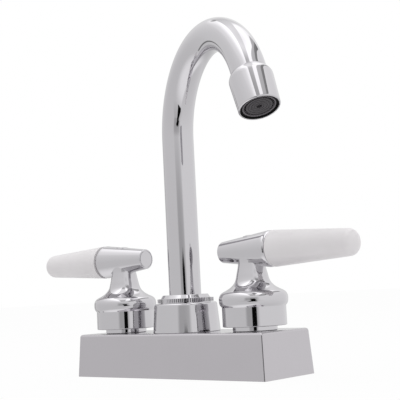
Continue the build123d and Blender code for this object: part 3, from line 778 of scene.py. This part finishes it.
class FAUCET_OT_finishes(bpy.types.Operator):
    """Make the finishes and give them to the CAD pieces that keep their shape"""

    bl_idname = "faucet.finishes"
    bl_label = "Finishes and hidden pieces"

    def execute(self, context):
        tints = context.scene.faucet_finishes
        gloss = tints.chrome_roughness
        # A lighter copy of the dark moulding for the aerator's shell: a painted highlight for the light that
        # its rounded rim catches
        painted_highlight_tint = [2.1 * c for c in tints.moulding]
        dark_copper = (0.22, 0.12, 0.08)
        for plain in bpy.data.materials:
            plain.name = f"plain_{plain.name}"
        # After the tint, chrome has roughness and ripple, turned metal has roughness, line counts
        # and stain, and a matt finish has roughness, grain, the grain's depth, bloom and sheen
        rows = (
            ("bright_chrome", chrome_finish, tints.chrome, gloss, 0.01),
            ("plate_chrome", chrome_finish, tints.plate, gloss * 2, 0.006),
            ("raw_brass", turned_finish, tints.brass, 0.22, (40, 40, 2600)),
            ("copper_tube", turned_finish, tints.copper, 0.25, (30, 1800, 1800), dark_copper),
            ("zinc_steel", zinc_finish, tints.zinc),
            ("black_rubber", matt_finish, tints.rubber, 0.6, 1500, 0.00004, 1.8, 0.06),
            ("white_acetal", matt_finish, tints.acetal, 0.35, 1200, 0.00003, 0.93),
            ("dark_acetal", matt_finish, tints.moulding, 0.45, 1100, 0.00001, 1.15, 0.3),
            # The lighter moulding copy: painted highlight on the aerator shell
            ("pale_moulding", matt_finish, painted_highlight_tint, 0.4, 1100, 0.00001, 1.1),
            ("ceramic", matt_finish, tints.ceramic, 0.12, 2200, 0.00001, 0.94),
            ("white_porcelain", porcelain_finish, tints.porcelain),
        )
        for name, finish, *values in rows:
            FINISHES[name] = finish(name, *values)
        for row in frame["record"]["subparts"]:
            node = frame["nodes"][row["node"]]
            node.data.materials.clear()
            node.data.materials.append(FINISHES[row["material_slot"]])
            node.data.polygons.foreach_set("use_smooth", [True] * len(node.data.polygons))
            node.modifiers.new("weld", "WELD").merge_threshold = WELD_GAP
            node.modifiers.new("edges", "EDGE_SPLIT").split_angle = radians(30)
        for plain in [m for m in bpy.data.materials if m.name.startswith("plain_")]:
            bpy.data.materials.remove(plain)
        return {"FINISHED"}


class FAUCET_OT_base(bpy.types.Operator):
    """Build the base: a drafted shell with rounded edges, three holes and seat rings inside"""

    bl_idname = "faucet.base"
    bl_label = "Base shell"

    def execute(self, context):
        size = context.scene.faucet_sizes
        centre = (0, size.base_setback)
        top = size.base_height
        wall = size.base_wall
        outer = (size.base_length, size.base_depth)
        inner = [side - 2 * wall for side in outer]
        hub = (13.6 * MM, 10.5 * MM)
        post = (17.5 * MM, 15.2 * MM)
        shell = tapered_block("base_cover", outer, centre, 0, top, size.base_draft, size.base_edge)
        cut(shell, tapered_block("inside", inner, centre, -2 * MM, top - wall, size.base_draft))
        for x, (seat, bore) in ((-size.hub_x, hub), (size.hub_x, hub), (0, post)):
            place = Matrix.Translation((x, 0, 0))
            ring = lathe("ring", rod(seat, top - wall - 1.3 * MM, top - 1.2 * MM), place)
            cut(shell, ring, operation="UNION")
            cut(shell, lathe("hole", rod(bore, 0, top + 2 * MM), place))
        even_shading(shell)
        done(shell, "base", "plate_chrome", "base_shell")
        return {"FINISHED"}


class FAUCET_OT_hub_rings(bpy.types.Operator):
    """Build the ring nuts that hold the base on the valve bodies, under the skirts"""

    bl_idname = "faucet.hub_rings"
    bl_label = "Hub ring nuts"

    def execute(self, context):
        size = context.scene.faucet_sizes
        bottom = size.base_height
        bore = 10.25 * MM
        for side in SIDES:
            node = f"collar_nut_{side}"
            outer = width(node).x / 2
            top = high(node).z
            inside = [(bore, top, 0.2 * MM), (bore, bottom)]
            outline = rounded(inside + [(outer, bottom, 0.3 * MM), (outer, top, 0.5 * MM)])
            ring = lathe(f"hub_ring_{side}", outline, hub_place(side, size.hub_x))
            done(ring, "base", "bright_chrome", node)
        return {"FINISHED"}


class FAUCET_OT_handles(bpy.types.Operator):
    """Build the handle castings: a bell with a slender neck, joined to a tapered barrel"""

    bl_idname = "faucet.handles"
    bl_label = "Handles"

    def execute(self, context):
        size = context.scene.faucet_sizes
        bottom = low("handle_right").z
        crease = bottom + size.skirt_height
        rise = size.barrel_height
        bell = self.bell(size, bottom, crease)
        barrel = self.barrel(size)
        drive = (5.7 * MM, 5.7 * MM)
        drive_top = high("stem_right").z + 0.1 * MM
        plug_seat = low("index_plug_right").z - 2.9 * MM
        plug_room = size.plug_radius + 0.05 * MM
        for side in SIDES:
            hub = hub_place(side, size.hub_x)
            spot = (SIDES[side] * size.hub_x, 0)
            handle = lathe(f"handle_cast_{side}", bell, hub, segments=112, crease=25)
            crossing = lathe("barrel", barrel, barrel_place(side, size), crease=30)
            cut(handle, crossing, operation="UNION")
            square = tapered_block("drive", drive, spot, crease + 3 * MM, drive_top, 0)
            bore = lathe("bore", rod(1.95 * MM, rise - 12 * MM, plug_seat + 1 * MM), hub, segments=32)
            well = lathe("well", rod(plug_room, plug_seat, rise + 15 * MM), hub, segments=64)
            cut(handle, square, bore, well)
            smooth(handle.data, 25)
            done(handle, f"{side}_handle", "bright_chrome", f"handle_{side}")
        return {"FINISHED"}

    def bell(self, size, bottom, crease):
        """The bell's outline: its hollow, the straight skirt, the bead and the neck."""
        skirt = size.skirt_radius
        bore = size.skirt_bore
        waist = size.neck_radius
        hollow = steps_from(0, crease, (0, 9.8), (5, 9.8, 0.8))
        hollow += steps_from(bore, crease, (-3.6, 8, 2), (0, 3.5, 2)) + [(bore, bottom)]
        rim = [(bore, bottom), (skirt, bottom, 0.4 * MM), (skirt, crease)]
        outside = [(skirt, crease)] + steps_from(skirt + size.bead_bulge, crease, *BEAD_STEPS)
        outside += steps_from(waist, crease, *NECK_STEPS)
        top = [(waist, size.barrel_height), (0, size.barrel_height)]
        return rounded(hollow, closed=False)[:-1] + rounded(rim, closed=False)[:-1] + flow(outside) + top

    def barrel(self, size):
        """The barrel's outline: a grooved small end, the taper and the lever's socket."""
        start = -size.barrel_inner
        end = size.barrel_outer
        lip = size.barrel_lip
        slope = (size.barrel_big - size.barrel_small) / (end - start - lip)
        groove = ((-1.1, 0), (-1.1, 0.4), (-0.75, 0.4), (-0.75, 0), (0, 0, 0.45))
        corners = [(0, start)] + steps_from(size.barrel_small, start, *groove)
        corners += [(size.barrel_big + slope * lip * 0.3, end, lip)]
        corners += steps_from(size.lever_root, end, (-2.5, 0, 0.15), (-2.5, -8.5))
        corners += steps_from(0, end, (2.5, -8.5), (2.5, -11.5), (0, -11.5))
        return rounded(corners, steps=7, closed=False)


class FAUCET_OT_levers(bpy.types.Operator):
    """Build the white tapered levers and the buttons on the barrels"""

    bl_idname = "faucet.levers"
    bl_label = "Levers and index plugs"

    def execute(self, context):
        size = context.scene.faucet_sizes
        grip = self.grip(size)
        button = self.button(size)
        for side in SIDES:
            body = f"{side}_handle"
            lever = lathe(f"lever_grip_{side}", grip, barrel_place(side, size))
            done(lever, body, "white_porcelain", f"lever_{side}")
            plug = lathe(f"button_{side}", button, hub_place(side, size.hub_x), segments=64, crease=40)
            done(plug, body, "bright_chrome", f"index_plug_{side}")
        return {"FINISHED"}

    def grip(self, size):
        """The lever's outline: a stud hole, a spigot, the taper, a rounded corner and a cap."""
        start = size.barrel_outer + 0.03 * MM
        root = size.lever_root
        corner = size.lever_corner
        inset = size.lever_tip - corner
        bend = pi / 3
        cap = inset / cos(bend) + corner
        cap_height = size.lever_reach - cap
        corner_height = cap_height + inset * tan(bend)
        lean = atan2(root - size.lever_tip, corner_height - start)
        butt = steps_from(0, start, (2.5, 15.6), (2.5, -8.4))
        butt += steps_from(root, start, (-2.55, -8.4, 0.4), (-2.55, 0))
        points = steps_from(0, start, (0, 15.6)) + rounded(butt, closed=False)
        points += steps_from(root, start, (-0.05, 0.25))
        for turn in (lean + (bend - lean) * k / 9 for k in range(10)):
            points.append((inset + corner * cos(turn), corner_height + corner * sin(turn)))
        for turn in (bend + (pi / 2 - bend) * k / 6 for k in range(1, 6)):
            points.append((cap * cos(turn), cap_height + cap * sin(turn)))
        return points + [(0, size.lever_reach)]

    def button(self, size):
        """The button's outline: a short cylinder with a slightly domed top."""
        radius = size.plug_radius
        foot = low("index_plug_right").z
        top = high("index_plug_right").z - 0.5 * MM
        side = [(0, foot), (radius, foot, 0.2 * MM), (radius, top - 0.8 * MM, 0.25 * MM)]
        return rounded(side + [(radius * 0.55, top - 0.2 * MM), (0, top)], closed=False)


class FAUCET_OT_collar(bpy.types.Operator):
    """Build the tapered collar at the foot of the spout and the knurled nut on it"""

    bl_idname = "faucet.collar"
    bl_label = "Spout collar and knurled nut"

    def execute(self, context):
        size = context.scene.faucet_sizes
        foot = low("spout_collar").z
        top = high("spout_collar").z
        bore = 15.225 * MM
        sleeve = steps_from(size.collar_foot, foot, (-2, 0), (0, 0, 0.25))
        sleeve += steps_from(size.collar_top, top, (0, 0, 1.3))
        sleeve += steps_from(bore, top, (0, 0, 0.2), (0, -2))
        sleeve += steps_from(size.collar_top, top, (-2, -2))
        collar = lathe("collar_sleeve", rounded(sleeve, steps=7), segments=160)
        done(collar, "base", "bright_chrome", "spout_collar")
        outer = size.nut_radius
        ridge = 0.5 * MM
        band = top + size.nut_band
        crown = high("spout_nut").z
        hole = 14.975 * MM
        corners = [(hole, top)]
        corners += steps_from(outer, top, (-1.65, 0), (-1.65, 0.35), (-0.45, 0.35), (-0.45, 0.5))
        corners += steps_from(outer, top, (-0.75, 0.7))
        corners += steps_from(outer, band, (-0.75, -0.5), (-0.5, -0.3), (-0.6, 0), (-1.95, 0, 0.2))
        corners += steps_from(outer, crown, (-3.25, 0, 0.35))
        corners += steps_from(size.tube_radius, crown, (0.3, 0, 0.3))
        corners += steps_from(size.tube_radius, top, (0.3, 2.2)) + steps_from(hole, top, (0, 2.2))
        done(lathe("knurled_nut", rounded(corners), segments=144), "base", "bright_chrome", "spout_nut")
        flutes = grown(
            "nut_flutes",
            ridge_tree(),
            count=size.knurls,
            ring_radius=outer - ridge * cos(pi / 6),
            ridge_radius=ridge,
            bottom=top + 0.4 * MM,
            top=band - 0.12 * MM,
            sides=6,
            material=FINISHES["bright_chrome"],
        )
        smooth(flutes.data, 50)
        done(flutes, "base", "bright_chrome")
        return {"FINISHED"}


class FAUCET_OT_spout(bpy.types.Operator):
    """Build the gooseneck tube"""

    bl_idname = "faucet.spout"
    bl_label = "Gooseneck tube"

    def execute(self, context):
        size = context.scene.faucet_sizes
        tube = grown(
            "gooseneck_tube",
            gooseneck_tree(),
            foot=low("spout_tube").z,
            bend_height=size.bend_height,
            bend_radius=size.bend_radius,
            bend_angle=size.bend_angle,
            swing=size.swing,
            straight_end=7.4 * MM,
            tube_radius=size.tube_radius,
            bend_steps=144,
            sides=128,
            material=FINISHES["bright_chrome"],
        )
        wall = tube.modifiers.new("wall", "SOLIDIFY")
        wall.thickness = size.tube_wall
        wall.offset = -1
        bake(tube)
        smooth(tube.data, 40)
        done(tube, "spout", "bright_chrome", "spout_tube")
        return {"FINISHED"}


class FAUCET_OT_outlet(bpy.types.Operator):
    """Build the flared outlet cup and the aerator in its mouth"""

    bl_idname = "faucet.outlet"
    bl_label = "Outlet cup and aerator"

    def execute(self, context):
        size = context.scene.faucet_sizes
        place = outlet_place(size)
        tube = size.tube_radius
        end = size.cup_length
        bore = tube + 0.7 * MM
        shoulder = steps_from(tube, 0, *CUP_STEPS) + steps_from(size.cup_radius, 0, (-0.12, 5.4), (0, 6.8))
        lip = steps_from(size.cup_radius, 0, (0, 6.8)) + steps_from(size.cup_mouth, end, (0, 0, 0.65))
        lip += steps_from(bore, end, (0, -0.1, 0.22)) + steps_from(bore, 0, (0, 8.3))
        stop = steps_from(tube, 0, (-0.9, 8.3), (-0.9, 7.5), (0.05, 7.5))
        cup = flow(shoulder)[:-1] + rounded(lip, steps=8, closed=False) + stop
        done(lathe("cup", cup, place, segments=128), "spout", "bright_chrome", "outlet_cup")

        housing = bore - 0.05 * MM
        screen = housing - 3.2 * MM
        face = end - 0.95 * MM
        groove = ((0, -4.8), (-1.15, -4.8), (-1.15, 0.1, 0.35), (-2.1, 0.1, 0.35), (-2.1, -2.6), (-4.2, -2.6))
        shell = steps_from(housing, 0, (-4.2, 9.8), (0, 9.8)) + steps_from(housing, face, *groove)
        holder = lathe("aerator_shell", rounded(shell), place)
        done(holder, "spout", "dark_acetal", "aerator_housing")
        # The whole shell takes the lighter moulding copy, a painted highlight for the light on its rounded
        # rim
        holder.data.materials[0] = FINISHES["pale_moulding"]
        seal = steps_from(housing, face, (0, -4.75), (0, 0.45, 0.3), (-1.1, 0.35, 0.3), (-1.1, -4.75))
        done(lathe("aerator_seal", rounded(seal), place), "spout", "black_rubber", "aerator_ring")
        teeth = grown(
            "aerator_teeth",
            ridge_tree(),
            place,
            count=32,
            ring_radius=screen + 0.6 * MM,
            ridge_radius=0.3 * MM,
            bottom=face - 1.9 * MM,
            top=face - 0.5 * MM,
            sides=6,
            material=FINISHES["dark_acetal"],
        )
        done(teeth, "spout", "dark_acetal")
        rings = steps_from(0, face, (0, -2.5))
        rings += steps_from(housing, face, (-2.12, -2.5), (-2.12, -2.2), (-3.2, -2.2))
        radius = screen
        while radius > 3.4 * MM:
            rings += steps_from(radius, face, (0, -0.2), (-1.1, -0.2), (-1.2, -0.4), (-1.5, -0.4))
            radius -= 1.6 * MM
        rings += steps_from(radius, face, (0, -0.2))
        rings += steps_from(0, face, (1.5, -0.2), (1.4, -1.3), (0, -1.3))
        done(lathe("aerator_face", rings, place), "spout", "dark_acetal", "aerator_screen")
        return {"FINISHED"}


class FAUCET_OT_shanks(bpy.types.Operator):
    """Cut the shanks down to their thread's root and wind the threads on them"""

    bl_idname = "faucet.shanks"
    bl_label = "Threaded shanks"

    def execute(self, context):
        size = context.scene.faucet_sizes
        root = size.thread_crest - 1.05 * MM
        shoulder = 2.9 * MM
        helix = thread_tree()
        for side in SIDES:
            x = SIDES[side] * size.hub_x
            node = f"valve_body_{side}"
            build = bmesh.new()
            build.from_mesh(frame["nodes"][node].data)
            bmesh.ops.remove_doubles(build, verts=build.verts, dist=WELD_GAP)
            for vert in build.verts:
                level = Vector((vert.co.x - x, vert.co.y))
                if vert.co.z < shoulder and level.length > root:
                    level = level.normalized() * root
                    vert.co.x = x + level.x
                    vert.co.y = level.y
            done(built(f"valve_casting_{side}", build, 30), "base", "raw_brass", node)
            thread = grown(
                f"shank_thread_{side}",
                helix,
                Matrix.Translation((x, 0, 0)),
                root_radius=root,
                crest_radius=size.thread_crest,
                pitch=size.thread_pitch,
                bottom=low(node).z + 1.2 * MM,
                top=2.0 * MM,
                steps=48,
                material=FINISHES["raw_brass"],
            )
            smooth(thread.data, 30)
            done(thread, "base", "raw_brass")
        return {"FINISHED"}


class FAUCET_OT_studio(bpy.types.Operator):
    """Set up the camera, the floor, the lamps and what the chrome reflects"""

    bl_idname = "faucet.studio"
    bl_label = "Studio"

    def execute(self, context):
        studio = context.scene.faucet_studio
        self.camera(context, studio)
        self.floor()
        self.lamp("overhead_softbox", (-0.1, -0.1, 1.25), (0, 0, 0.06), 0.9, studio.softbox)
        self.lamp("side_softbox", (1.1, -0.1, 0.75), (0, 0, 0.08), 0.5, studio.softbox * 0.3)
        self.cards(studio)
        self.world(context, studio)
        context.scene.view_settings.view_transform = "Standard"
        return {"FINISHED"}

    def camera(self, context, studio):
        """The camera that was fitted to the photo's edges."""
        turn = studio.camera_turn
        azimuth = turn + studio.camera_yaw
        pitch = studio.camera_pitch
        roll = studio.camera_roll
        ahead = Vector((-sin(azimuth) * cos(pitch), cos(azimuth) * cos(pitch), sin(pitch)))
        right = Vector((cos(azimuth), sin(azimuth), 0))
        up = right.cross(ahead)
        across = right * cos(roll) + up * sin(roll)
        above = up * cos(roll) - right * sin(roll)
        data = bpy.data.cameras.new("studio_camera")
        data.sensor_width = 36
        data.lens = studio.focal_pixels * data.sensor_width / IMAGE_WIDTH
        data.shift_x = 0.5 - studio.centre_x / IMAGE_WIDTH
        data.shift_y = studio.centre_y / IMAGE_WIDTH - 0.5
        data.clip_start = 0.01
        camera = link("studio_camera", data)
        away = studio.camera_distance
        spot = Vector((sin(turn) * away, -cos(turn) * away, studio.camera_height))
        camera.matrix_world = Matrix.Translation(spot) @ Matrix((across, above, -ahead)).transposed().to_4x4()
        context.scene.camera = camera

    def floor(self):
        """White paper that the camera sees as plain white, and that the chrome doesn't mirror."""
        build = bmesh.new()
        bmesh.ops.create_grid(build, x_segments=8, y_segments=8, size=6)
        floor = built("studio_floor", build)
        floor.data.transform(Matrix.Translation((0, 0, -0.2 * MM)))
        material, tree, place = blank_material("white_sweep")
        paper = place.noise(30).mix(grey(0.8), grey(0.83))
        matt = tree.add("ShaderNodeBsdfDiffuse", {}, {"Color": paper})
        glow = tree.add("ShaderNodeEmission", {}, {"Color": grey(1), "Strength": 1.0})
        tree.end("Material", tree.blend(tree.seen() * 0.96, matt, glow))
        floor.data.materials.append(material)
        floor.visible_glossy = False

    def lamp(self, name, spot, target, size, power):
        """A square lamp that the chrome doesn't mirror."""
        data = bpy.data.lights.new(name, "AREA")
        data.shape = "SQUARE"
        data.size = size
        data.energy = power
        lamp = link(name, data)
        lamp.location = spot
        lamp.rotation_euler = (Vector(target) - Vector(spot)).to_track_quat("-Z", "Y").to_euler()
        lamp.visible_glossy = False

    def cards(self, studio):
        """Dark things on the camera's side: a strip along the table, and an upright one behind it."""
        turn = studio.camera_turn - radians(3)
        away = Vector((sin(turn), -cos(turn), 0))
        right = Vector((cos(turn), sin(turn), 0))
        up = Vector((0, 0, 1))
        side = right * CARD_REACH
        table = ("table_strip", up * 0.3 * MM, away, TABLE_STRIP)
        upright = ("camera_shape", away * CARD_DISTANCE, up, CAMERA_SHAPE)
        for name, start, way, stops in (table, upright):
            near = start + way * stops[0][0]
            far = start + way * stops[-1][0]
            tree, place = self.card(name, (near - side, near + side, far + side, far - side))
            x, y, z = place.axes()
            self.dark_shape(tree, x * way.x + y * way.y + z * way.z, x * right.x + y * right.y, stops)

    def card(self, name, corners):
        """A card that only the chrome sees, with the tree and the coordinates of its material."""
        build = bmesh.new()
        build.faces.new([build.verts.new(corner) for corner in corners])
        card = built(name, build)
        material, tree, place = blank_material(name)
        card.data.materials.append(material)
        for rays in ("camera", "diffuse", "shadow", "transmission"):
            setattr(card, f"visible_{rays}", False)
        return tree, place

    def dark_shape(self, tree, along, across, stops):
        """Black inside an outline, with a faint shade round it, as its stops say."""
        first = stops[0][0]
        run = stops[-1][0] - first
        spot = (along - first) / run
        places = [(stop[0] - first) / run for stop in stops]
        levels = list(zip(*stops))[1:]
        centre, half, black, shade = (tree.ramp(spot, zip(places, row)) for row in levels)
        sharp = (abs(across - centre) - half).span(-0.003, 0.008, 1, 0) * black
        soft = abs(across + 0.04).span(0.14, 0.27, 0.36, 0) * shade
        cover = 1 - (1 - sharp) * (1 - soft)
        clear = tree.add("ShaderNodeBsdfTransparent")
        dark = tree.add("ShaderNodeEmission", {}, {"Color": grey(0.004), "Strength": 1.0})
        tree.end("Material", tree.blend(cover, clear, dark))

    def world(self, context, studio):
        """White for the camera, plain light for matt surfaces, and the surroundings for the chrome."""
        world = bpy.data.worlds.new("studio_world")
        context.scene.world = world
        world.use_nodes = True
        world.node_tree.nodes.clear()
        tree = Tree(world.node_tree)
        mirror, plain, white = (
            tree.add("ShaderNodeBackground", {}, {"Color": grey(1), "Strength": strength})
            for strength in (self.surroundings(tree, studio), studio.ambient, 1.0)
        )
        glossy = tree.add("ShaderNodeLightPath")["Is Glossy Ray"]
        tree.end("World", tree.blend(tree.seen(), tree.blend(glossy, plain, mirror), white))

    def surroundings(self, tree, studio):
        """The brightness that the chrome mirrors from each direction."""
        x, y, z = tree.add("ShaderNodeTexCoord")["Generated"].axes()
        turn = studio.camera_turn
        aside = x * cos(turn) + y * sin(turn)
        right = aside.span(-0.16, 0.3, 0, studio.right_gain - 1) * (1 - abs(z))
        level = tree.ramp(z * 0.5 + 0.5, SKY) * (2 * studio.mirrored) * (1 + right)
        for bearing, rise, full, outer, gain in PATCHES:
            bearing, rise = (radians(degrees) for degrees in (bearing, rise))
            near = x * (sin(bearing) * cos(rise)) - y * (cos(bearing) * cos(rise)) + z * sin(rise)
            level = level * (1 + near.span(cos(radians(outer)), cos(radians(full)), 0, 1) * (gain - 1))
        # Steeply down it is lighter, except to the right
        foot = z.span(-0.9, -0.5, 0.45, 0) * aside.span(0.1, 0.3, 1, 0)
        level = level * (1 + foot) * (1 - self.dark_line(x, y, z))
        # Places on a level ceiling: across its lamps, along them, and towards the right
        over = tree.maths("MAXIMUM", z, 0.3)
        aslant = (x * ACROSS_LAMPS[0] + y * ACROSS_LAMPS[1]) / over
        along = (x * ACROSS_LAMPS[1] - y * ACROSS_LAMPS[0]) / over
        beside = x / over
        lamps = self.ceiling_lamps(aslant, along, beside)
        level = level * (1 + (lamps - 1) * z.span(0.6, 0.7, 0, 1))
        dim = self.ceiling_side(aslant, beside) * beside.span(-0.12, 0, 0, 1)
        return level * (1 + dim * z.span(0.52, 0.6, 0, 1))

    def dark_line(self, x, y, z):
        """The upright dark line that the inner side of the bend mirrors."""
        bearing = radians(LINE_BEARING)
        across = abs(x * cos(bearing) + y * sin(bearing))
        upright = across.span(0.018, 0.045, 0.7, 0) * x.span(-0.7, -0.6, 1, 0)
        return upright * abs(z + 0.17).span(0.3, 0.36, 1, 0)

    def ceiling_lamps(self, aslant, along, beside):
        """Two lamps overhead with a darker gap between them, and the darker ceiling past them."""
        gap = along.span(0.25, 0.8, 0.93, 0.52) - along.span(-0.5, -0.1, 0.16, 0)
        first = aslant.span(-0.75, -0.36, 1.08, 1.36)
        between = aslant.span(-0.33, -0.3, 0, 1) * (gap - 1.36)
        second = aslant.span(0.05, 0.08, 0, 1) * beside.span(-0.42, -0.2, 0.1, 1) * (1.24 - gap)
        return first + between + second + aslant.span(0.87, 0.9, 0, -0.26)

    def ceiling_side(self, aslant, beside):
        """The ceiling's right side: a grey area, a darker line and the light past it."""
        area = (aslant - beside.span(0.34, 0.56, 0.22, 0)).span(0.35, 0.38, 0, -0.53)
        line = aslant - beside.span(0.1, 0.5, 0.11, 0)
        return area + line.span(0.68, 0.7, 0, -0.245) + line.span(0.87, 0.9, 0, 0.775)


class FAUCET_PT_panel(bpy.types.Panel):
    """Lists the faucet's builders in the sidebar."""

    bl_label = "Faucet"
    bl_idname = "FAUCET_PT_panel"
    bl_space_type = "VIEW_3D"
    bl_region_type = "UI"
    bl_category = "Faucet"

    def draw(self, context):
        for operator in OPERATORS:
            self.layout.operator(operator.bl_idname)


OPERATORS = (
    FAUCET_OT_finishes,
    FAUCET_OT_base,
    FAUCET_OT_hub_rings,
    FAUCET_OT_handles,
    FAUCET_OT_levers,
    FAUCET_OT_collar,
    FAUCET_OT_spout,
    FAUCET_OT_outlet,
    FAUCET_OT_shanks,
    FAUCET_OT_studio,
)
CLASSES = (FaucetSizes, FaucetFinishes, FaucetStudio) + OPERATORS + (FAUCET_PT_panel,)


def register():
    """Register the classes and their settings."""
    for item in CLASSES:
        bpy.utils.register_class(item)
    bpy.types.Scene.faucet_sizes = PointerProperty(type=FaucetSizes)
    bpy.types.Scene.faucet_finishes = PointerProperty(type=FaucetFinishes)
    bpy.types.Scene.faucet_studio = PointerProperty(type=FaucetStudio)


def unregister():
    """Remove the settings and the classes."""
    del bpy.types.Scene.faucet_studio
    del bpy.types.Scene.faucet_finishes
    del bpy.types.Scene.faucet_sizes
    for item in reversed(CLASSES):
        bpy.utils.unregister_class(item)


def main():
    """Build the faucet."""
    register()
    for operator in OPERATORS:
        family, name = operator.bl_idname.split(".")
        getattr(getattr(bpy.ops, family), name)()
    bpy.context.view_layer.update()


if __name__ == "__main__":
    main()
